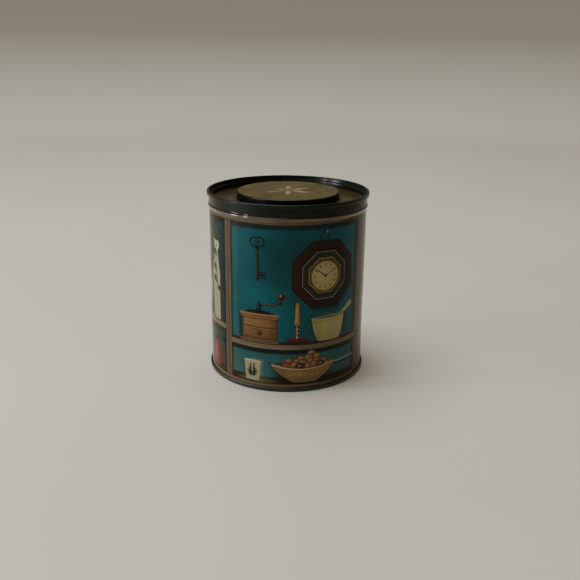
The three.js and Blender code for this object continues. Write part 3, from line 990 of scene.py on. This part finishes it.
def bend(centre, radius, start, end, steps):
    """Points on an arc in the radius-height plane, from one bearing to another in degrees."""
    turns = (radians(start + (end - start) * i / steps) for i in range(steps + 1))
    return [(centre[0] + radius * cos(t), centre[1] + radius * sin(t)) for t in turns]


def double_seam(sizes, wall_radius):
    """Middle lines of the cover's edge, the wall's hook and the compound, as depths."""
    t, pitch = sizes.tinplate, sizes.pitch
    wall = wall_radius - t / 2
    chuck, cover_hook, wall_hook, outside = (wall + pitch * n for n in (-1, 1, 2, 3))
    corner = sizes.crest_bend
    wall_turn = (cover_hook, t + sizes.compound_room + t / 2 + pitch)
    foot_turn = (wall_hook, sizes.seam_height - t / 2 - pitch)
    cover_line = [
        *bend((chuck + corner, t / 2 + corner), corner, 180, 270, 6),
        *bend((outside - corner, t / 2 + corner), corner, 270, 360, 6),
        *bend(foot_turn, pitch, 0, 180, 10),
        (cover_hook, wall_turn[1] + sizes.hook_overlap),
    ]
    hook_line = [*bend(wall_turn, pitch, 180, 360, 10), (wall_hook, foot_turn[1] - sizes.hook_overlap)]
    compound_radius = pitch + t / 2 + sizes.compound_room / 2
    compound_line = bend(wall_turn, compound_radius, 250, 290, 4)
    return chuck, cover_line, hook_line, compound_line


def hung(line, height):
    """A line of depths turned into heights under a crest."""
    return [(r, height - depth) for r, depth in line]


def rows(start, end, spacing):
    """Evenly spaced points between two ends, without the ends."""
    count = int((Vector(end) - Vector(start)).length / spacing)
    shares = (i / count for i in range(1, count))
    return [tuple(Vector(start).lerp(Vector(end), s)) for s in shares]


def turned(line, steps):
    """Turns a line of radii and heights round the tin's axis into one surface."""
    bm = bmesh.new()
    verts = [bm.verts.new((r, 0, z)) for r, z in line]
    edges = [bm.edges.new(pair) for pair in zip(verts, verts[1:])]
    bmesh.ops.spin(
        bm, geom=verts + edges, cent=(0, 0, 0), axis=(0, 0, 1), dvec=(0, 0, 0),
        angle=math.tau, steps=steps, use_merge=True, use_duplicate=False,
    )
    bmesh.ops.remove_doubles(bm, verts=bm.verts, dist=0.01 * MM)
    return bm


def face_towards(bm, point, direction):
    """Turns the surface so that its face nearest the point looks along the direction."""
    face = min(bm.faces, key=lambda f: (f.calc_center_median() - Vector(point)).length)
    face.normal_update()
    if face.normal.dot(Vector(direction)) < 0:
        bmesh.ops.reverse_faces(bm, faces=bm.faces)


def placed(name, bm, *finishes):
    """A mesh object at the origin, with its finishes."""
    mesh = bpy.data.meshes.new(name)
    bm.to_mesh(mesh)
    bm.free()
    for finish in finishes:
        mesh.materials.append(finish)
    piece = bpy.data.objects.new(name, mesh)
    bpy.context.scene.collection.objects.link(piece)
    return piece


def sheet_piece(name, bm, thickness, outside, inside, sharp=35):
    """A piece of sheet metal from its middle surface, with a finish for each side."""
    piece = placed(name, bm, outside, inside)
    mesh = piece.data
    solid = piece.modifiers.new("Sheet", "SOLIDIFY")
    solid.thickness = thickness
    solid.offset = 0
    solid.use_even_offset = True
    solid.material_offset = 1
    solid.material_offset_rim = 1
    finished = bpy.data.meshes.new_from_object(
        piece.evaluated_get(bpy.context.evaluated_depsgraph_get())
    )
    piece.modifiers.clear()
    piece.data = finished
    bpy.data.meshes.remove(mesh)
    finished.name = name
    smooth(piece, sharp)
    return piece


def smooth(piece, sharp):
    piece.data.shade_smooth()
    piece.data.set_sharp_from_angle(angle=radians(sharp))


def solid_piece(name, bm, finish, sharp=35):
    """A closed piece in one finish."""
    bmesh.ops.recalc_face_normals(bm, faces=bm.faces)
    piece = placed(name, bm, finish)
    smooth(piece, sharp)
    return piece


def settle(piece, node, body):
    """Puts a finished piece in the place of its CAD node."""
    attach(piece, body)
    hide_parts(node)


def ease(value, low, high):
    """0 below low, 1 above high and a smooth step between."""
    share = min(max((value - low) / (high - low), 0), 1)
    return share * share * (3 - 2 * share)


def handle_wall(bm):
    """Gives the straight wall the slight unevenness and dents of rolled thin sheet."""
    dents = ((radians(-150), 0.052, 0.013, 0.4 * MM), (radians(128), 0.098, 0.010, 0.3 * MM))
    for v in bm.verts:
        bearing = math.atan2(v.co.y, v.co.x)
        radius = Vector((v.co.x, v.co.y)).length
        hold = ease(v.co.z, 5 * MM, 14 * MM) * (1 - ease(v.co.z, 126 * MM, 136 * MM))
        wave = sin(3 * bearing + 22 * v.co.z) + 0.7 * sin(7 * bearing - 61 * v.co.z + 1)
        wave += 0.5 * sin(13 * bearing + 97 * v.co.z + 2)
        push = 0.035 * MM * wave
        for centre, height, reach, depth in dents:
            turn = (bearing - centre + pi) % math.tau - pi
            away = math.hypot(turn * radius, v.co.z - height) / reach
            push -= depth * math.exp(-away * away * 2)
        v.co.xy *= 1 + hold * push / radius


def cut_beside(bm, bearing, offsets):
    """Adds upright loops beside a bearing, and returns the ways across and towards it."""
    across = Vector((-sin(bearing), cos(bearing), 0))
    towards = Vector((cos(bearing), sin(bearing), 0))
    for offset in offsets:
        near = [
            f for f in bm.faces
            if f.calc_center_median().dot(towards) > 0.05
            and abs(f.calc_center_median().dot(across)) < 0.006
        ]
        geom = list({e for f in near for e in f.edges} | {v for f in near for v in f.verts}) + near
        bmesh.ops.bisect_plane(
            bm, geom=geom, dist=0.001 * MM, plane_co=across * offset, plane_no=across,
        )
    return across, towards


def strip(bearing, width, radius, thickness, low, high):
    """A thin upright strip that follows the wall, with softened edges."""
    bm = bmesh.new()
    bmesh.ops.create_cube(bm, size=1)
    bmesh.ops.scale(bm, vec=(thickness, width, high - low), verts=bm.verts)
    lengthwise = [e for e in bm.edges if abs(e.verts[0].co.z - e.verts[1].co.z) > 0.001]
    bmesh.ops.bevel(
        bm, geom=lengthwise, offset=thickness * 0.3, offset_type="OFFSET", affect="EDGES",
        segments=3, profile=0.5, material=-1,
    )
    bmesh.ops.translate(bm, vec=(radius, 0, (low + high) / 2), verts=bm.verts)
    bmesh.ops.rotate(bm, cent=(0, 0, 0), matrix=Matrix.Rotation(bearing, 3, "Z"), verts=bm.verts)
    return bm


def add_part(piece, bm, slot_index):
    """Adds a loose part to a piece, in one of its finishes."""
    for face in bm.faces:
        face.material_index = slot_index
        face.smooth = True
    part = bpy.data.meshes.new("part")
    bm.to_mesh(part)
    bm.free()
    joined = bmesh.new()
    joined.from_mesh(piece.data)
    joined.from_mesh(part)
    joined.to_mesh(piece.data)
    joined.free()
    bpy.data.meshes.remove(part)
    smooth(piece, 35)


# ---------------------------------------------------------------------------
# Operators
# ---------------------------------------------------------------------------

class TIN_OT_body_wall(bpy.types.Operator):
    """Build the printed wall with its lock seam, bead and hem"""

    bl_idname = "tin.body_wall"
    bl_label = "Body Wall"
    bl_options = {"REGISTER", "UNDO"}

    def execute(self, context):
        sizes, ink = context.scene.tin_sizes, context.scene.tin_colours
        t = sizes.tinplate
        wall = sizes.body_radius - t / 2
        _, _, hook, _ = double_seam(sizes, sizes.body_radius)
        slope = 2 * math.atan(sizes.bead_rise / sizes.bead_half)
        reach = sizes.bead_half / sin(slope)
        crown, foot, lean = reach * 0.6, reach * 0.4, math.degrees(slope)
        low, middle = sizes.bead_height - sizes.bead_half, sizes.bead_height
        top = sizes.bead_height + sizes.bead_half
        fold = (t + sizes.hem_gap) / 2
        bead_line = [
            *bend((wall + foot, low), foot, 180, 180 - lean, 5),
            *bend((wall + sizes.bead_rise - crown, middle), crown, -lean, lean, 10)[1:-1],
            *bend((wall + foot, top), foot, 180 + lean, 180, 5),
        ]
        start = hook[::-1][-1]
        hem_line = [
            *bend((wall - fold, sizes.mouth_height - t / 2 - fold), fold, 0, 180, 8),
            (wall - 2 * fold, sizes.mouth_height - sizes.hem_length),
        ]
        line = [*hook[::-1], *rows(start, bead_line[0], 4 * MM), *bead_line, *hem_line]
        bm = turned(line, sizes.steps)
        face_towards(bm, (wall, 0, 0.07), (1, 0, 0))
        handle_wall(bm)
        bearing = bearing_of("side_seam_solder")
        across, towards = cut_beside(bm, bearing, LOOP_OFFSETS)
        for v in bm.verts:
            away = abs(v.co.dot(across))
            beside = away < SEAM_LINE_HALF and v.co.dot(towards) > 0
            if beside and SEAM_LINE_START < v.co.z < low:
                v.co -= towards * SEAM_LINE_DEPTH
        outside = printed_wall(sizes, ink)
        inside = inside_lacquer(ink)
        piece = sheet_piece("printed_wall", bm, t, outside, inside)
        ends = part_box("side_seam_solder")
        ridge = strip(bearing, sizes.lock_width, wall - 2 * t, 3 * t, ends[0].z, ends[1].z)
        add_part(piece, ridge, 1)
        settle(piece, "body_wall", "canister")
        return {"FINISHED"}


class TIN_OT_side_seam_solder(bpy.types.Operator):
    """Build the run of solder along the inside of the side seam"""

    bl_idname = "tin.side_seam_solder"
    bl_label = "Side Seam Solder"
    bl_options = {"REGISTER", "UNDO"}

    def execute(self, context):
        ink = context.scene.tin_colours
        piece = bead_of_solder("seam_solder", "side_seam_solder", 0.35 * MM, 0.3 * MM, ink)
        settle(piece, "side_seam_solder", "canister")
        return {"FINISHED"}


class TIN_OT_bottom_end(bpy.types.Operator):
    """Build the base with its panel, rings, groove and rolled edge"""

    bl_idname = "tin.bottom_end"
    bl_label = "Bottom End"
    bl_options = {"REGISTER", "UNDO"}

    def execute(self, context):
        sizes, ink = context.scene.tin_sizes, context.scene.tin_colours
        chuck, edge, _, _ = double_seam(sizes, sizes.body_radius)
        groove = sizes.groove_height - sizes.tinplate / 2
        panel = groove - sizes.panel_step
        bow = sizes.ring_rise / 2
        line = [(radius, panel) for radius in PANEL_STOPS]
        for radius in RING_RADII:
            for i in range(-8, 9):
                swell = bow * (1 + cos(pi * i / 8))
                line.append((radius + sizes.ring_half * i / 8, panel + swell))
            line += rows((radius + sizes.ring_half, panel), (radius + RING_REACH, panel), 4 * MM)
        foot = chuck - sizes.groove_width
        line += [(foot - 2 * sizes.panel_step, panel), (foot - sizes.panel_step, panel + 0.05 * MM)]
        line += [(foot - 0.1 * MM, groove - 0.1 * MM), (foot + 0.3 * MM, groove)]
        line += bend((chuck - 0.001, groove - 0.001), 0.001, 90, 0, 6)
        bm = turned([*line, *edge], sizes.steps)
        face_towards(bm, (0.001, 0, panel), (0, 0, -1))
        piece = sheet_piece("base", bm, sizes.tinplate, dark_base(ink), inside_lacquer(ink))
        settle(piece, "bottom_end", "canister")
        return {"FINISHED"}


class TIN_OT_seam_compounds(bpy.types.Operator):
    """Build the rings of sealing compound inside both double seams"""

    bl_idname = "tin.seam_compounds"
    bl_label = "Seam Compounds"
    bl_options = {"REGISTER", "UNDO"}

    def execute(self, context):
        sizes, ink = context.scene.tin_sizes, context.scene.tin_colours
        finish = seam_compound(ink)
        low = double_seam(sizes, sizes.body_radius)[3]
        high = hung(double_seam(sizes, sizes.skirt_radius)[3], sizes.rim_height)
        for name, line, node, body in (
            ("base_compound", low, "bottom_seam_compound", "canister"),
            ("lid_compound", high, "lid_seam_compound", "lid"),
        ):
            piece = sheet_piece(name, turned(line, sizes.steps), sizes.compound, finish, finish)
            settle(piece, node, body)
        return {"FINISHED"}


class TIN_OT_lid_cover(bpy.types.Operator):
    """Build the lid's cover with its recess, raised centre and rolled edge"""

    bl_idname = "tin.lid_cover"
    bl_label = "Lid Cover"
    bl_options = {"REGISTER", "UNDO"}

    def execute(self, context):
        sizes, ink = context.scene.tin_sizes, context.scene.tin_colours
        t = sizes.tinplate
        chuck, edge, _, _ = double_seam(sizes, sizes.skirt_radius)
        top = sizes.disc_top - t / 2
        floor = sizes.lid_floor + t / 2
        side = sizes.disc_radius - t / 2
        recess = sizes.body_radius - 2 * t - sizes.hem_gap - sizes.recess_gap - t / 2
        shoulder = sizes.rim_height - sizes.seam_height + t
        corner = sizes.recess_bend
        bow = sizes.disc_bend
        line = [
            (0, top), *rows((0, top), (side - bow, top), 4 * MM),
            *bend((side - bow, top - bow), bow, 90, 0, 6),
            *bend((side + bow, floor + bow), bow, 180, 270, 6),
            *rows((side + bow, floor), (recess - corner, floor), 4 * MM),
            *bend((recess - corner, floor + corner), corner, -90, 0, 6),
            (recess, shoulder - (chuck - recess) - 0.1 * MM),
            (recess + 0.1 * MM, shoulder - (chuck - recess) + 0.1 * MM),
            (chuck - 0.1 * MM, shoulder - 0.1 * MM),
            (chuck, shoulder + 0.1 * MM),
            *hung(edge, sizes.rim_height),
        ]
        bm = turned(line, sizes.steps)
        face_towards(bm, (0.001, 0, top), (0, 0, 1))
        piece = sheet_piece("lid_top", bm, t, cover_print(sizes, ink), inside_lacquer(ink))
        settle(piece, "lid_cover", "lid")
        return {"FINISHED"}


class TIN_OT_lid_skirt(bpy.types.Operator):
    """Build the lid's skirt with its lap joint"""

    bl_idname = "tin.lid_skirt"
    bl_label = "Lid Skirt"
    bl_options = {"REGISTER", "UNDO"}

    def execute(self, context):
        sizes, ink = context.scene.tin_sizes, context.scene.tin_colours
        t = sizes.tinplate
        wall = sizes.skirt_radius - t / 2
        hook = hung(double_seam(sizes, sizes.skirt_radius)[2], sizes.rim_height)
        start = (wall, sizes.skirt_edge)
        line = [start, *rows(start, hook[0], 1.2 * MM), *hook]
        bm = turned(line, sizes.steps)
        face_towards(bm, (wall, 0, sizes.skirt_edge), (1, 0, 0))
        piece = sheet_piece("skirt", bm, t, green_enamel(sizes, ink), inside_lacquer(ink))
        low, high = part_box("lid_skirt_solder")
        lap = strip(
            bearing_of("side_seam_solder"), sizes.lap_width,
            sizes.skirt_radius + t * 0.4, t, low.z, high.z,
        )
        add_part(piece, lap, 0)
        settle(piece, "lid_skirt", "lid")
        return {"FINISHED"}


class TIN_OT_lid_skirt_solder(bpy.types.Operator):
    """Build the solder along the skirt's lap joint"""

    bl_idname = "tin.lid_skirt_solder"
    bl_label = "Lid Skirt Solder"
    bl_options = {"REGISTER", "UNDO"}

    def execute(self, context):
        ink = context.scene.tin_colours
        piece = bead_of_solder("skirt_solder", "lid_skirt_solder", 0.12 * MM, 0.12 * MM, ink)
        settle(piece, "lid_skirt_solder", "lid")
        return {"FINISHED"}


def bead_of_solder(name, node, half_width, half_depth, ink):
    """A thin uneven run of solder in the middle of its CAD node."""
    low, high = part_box(node)
    bearing = bearing_of(node)
    middle = (low + high) / 2
    bm = bmesh.new()
    bmesh.ops.create_cone(
        bm, cap_ends=True, segments=10, radius1=1, radius2=1, depth=high.z - low.z,
    )
    lengthwise = [e for e in bm.edges if abs(e.verts[0].co.z - e.verts[1].co.z) > 0.001]
    bmesh.ops.subdivide_edges(bm, edges=lengthwise, cuts=60, use_grid_fill=False)
    bmesh.ops.scale(bm, vec=(half_depth, half_width, 1), verts=bm.verts)
    for v in bm.verts:
        swell = 1 + 0.12 * sin(v.co.z * 1900) + 0.1 * sin(v.co.z * 770 + 1)
        v.co.xy *= min(swell, 1.15) / 1.15
    bmesh.ops.rotate(bm, cent=(0, 0, 0), matrix=Matrix.Rotation(bearing, 3, "Z"), verts=bm.verts)
    bmesh.ops.translate(bm, vec=middle, verts=bm.verts)
    return solid_piece(name, bm, grey_solder(ink), 60)


class TIN_OT_stage(bpy.types.Operator):
    """Build the pale floor, the soft lights and the camera"""

    bl_idname = "tin.stage"
    bl_label = "Stage"
    bl_options = {"REGISTER", "UNDO"}

    def execute(self, context):
        sizes, ink = context.scene.tin_sizes, context.scene.tin_colours
        sweep = [(0, 0), (0.4, 0), *bend((1.5, 0.5), 0.5, -90, 0, 12), (2.0, 2.6)]
        bm = turned(sweep, 96)
        face_towards(bm, (0.2, 0, 0), (0, 0, 1))
        backdrop = placed("backdrop", bm, pale_floor(ink))
        smooth(backdrop, 60)
        world = bpy.data.worlds.new("room")
        world.use_nodes = True
        sky = world.node_tree.nodes["Background"].inputs
        sky["Color"].default_value = (*DAYLIGHT, 1)
        sky["Strength"].default_value = DAYLIGHT_STRENGTH
        context.scene.world = world
        for bearing, width in PANES:
            turn = radians(bearing)
            pane = Vector((PANE_REACH * cos(turn), PANE_REACH * sin(turn), PANE_HEIGHT))
            area_light("window_pane", pane, (width, PANE_TALL), width * PANE_POWER, PANE_TINT)
        area_light("ceiling", CEILING_PLACE, CEILING_SIZE, CEILING_POWER, CEILING_TINT)
        radius = sizes.body_radius
        camera = bpy.data.objects.new("camera", bpy.data.cameras.new("camera"))
        camera.data.lens = LENS
        camera.data.sensor_width = SENSOR
        camera.data.clip_start = 0.01
        camera.location = tuple(share * radius for share in CAMERA_PLACE)
        camera.rotation_mode = "QUATERNION"
        tilt = Matrix.Rotation(CAMERA_PITCH, 3, "X") @ Matrix.Rotation(CAMERA_ROLL, 3, "Z")
        camera.rotation_quaternion = tilt.to_quaternion()
        context.scene.collection.objects.link(camera)
        context.scene.camera = camera
        return {"FINISHED"}


def area_light(name, place, size, power, tint):
    """A rectangular soft light that looks at the middle of the tin."""
    lamp = bpy.data.lights.new(name, "AREA")
    lamp.shape = "RECTANGLE"
    lamp.size, lamp.size_y = size
    lamp.energy = power
    lamp.color = tint
    holder = bpy.data.objects.new(name, lamp)
    holder.location = place
    holder.rotation_euler = (LOOK_AT - place).to_track_quat("-Z", "Y").to_euler()
    bpy.context.scene.collection.objects.link(holder)


def pale_floor(ink):
    surface = Surface("pale floor")
    _, _, height = surface.parts(surface.place)
    colour = surface.blend(surface.noise(3.0, 3.0, 0.5).scaled(0.3), ink.floor, ink.petal)
    colour = surface.blend(height.scaled(4.0, -0.15), colour, ink.wall)
    return surface.finish(Base_Color=colour, Roughness=0.7)


class TIN_PT_panel(bpy.types.Panel):
    """Lists the pieces, sizes and colours of the tin"""

    bl_idname = "TIN_PT_panel"
    bl_label = "Coffee Tin"
    bl_space_type = "VIEW_3D"
    bl_region_type = "UI"
    bl_category = "Tin"

    def draw(self, context):
        layout = self.layout
        for operator in OPERATORS:
            layout.operator(operator.bl_idname)
        for group in (context.scene.tin_sizes, context.scene.tin_colours):
            box = layout.box()
            for name in group.bl_rna.properties.keys():
                if name not in ("name", "rna_type"):
                    box.prop(group, name)


OPERATORS = (
    TIN_OT_body_wall, TIN_OT_side_seam_solder, TIN_OT_bottom_end, TIN_OT_seam_compounds,
    TIN_OT_lid_cover, TIN_OT_lid_skirt, TIN_OT_lid_skirt_solder, TIN_OT_stage,
)
CLASSES = (TinSizes, TinColours, *OPERATORS, TIN_PT_panel)


def register():
    for cls in CLASSES:
        bpy.utils.register_class(cls)
    bpy.types.Scene.tin_sizes = PointerProperty(type=TinSizes)
    bpy.types.Scene.tin_colours = PointerProperty(type=TinColours)


def unregister():
    del bpy.types.Scene.tin_colours
    del bpy.types.Scene.tin_sizes
    for cls in reversed(CLASSES):
        bpy.utils.unregister_class(cls)


def main():
    register()
    for operator in OPERATORS:
        group, name = operator.bl_idname.split(".")
        getattr(getattr(bpy.ops, group), name)()


if __name__ == "__main__":
    main()
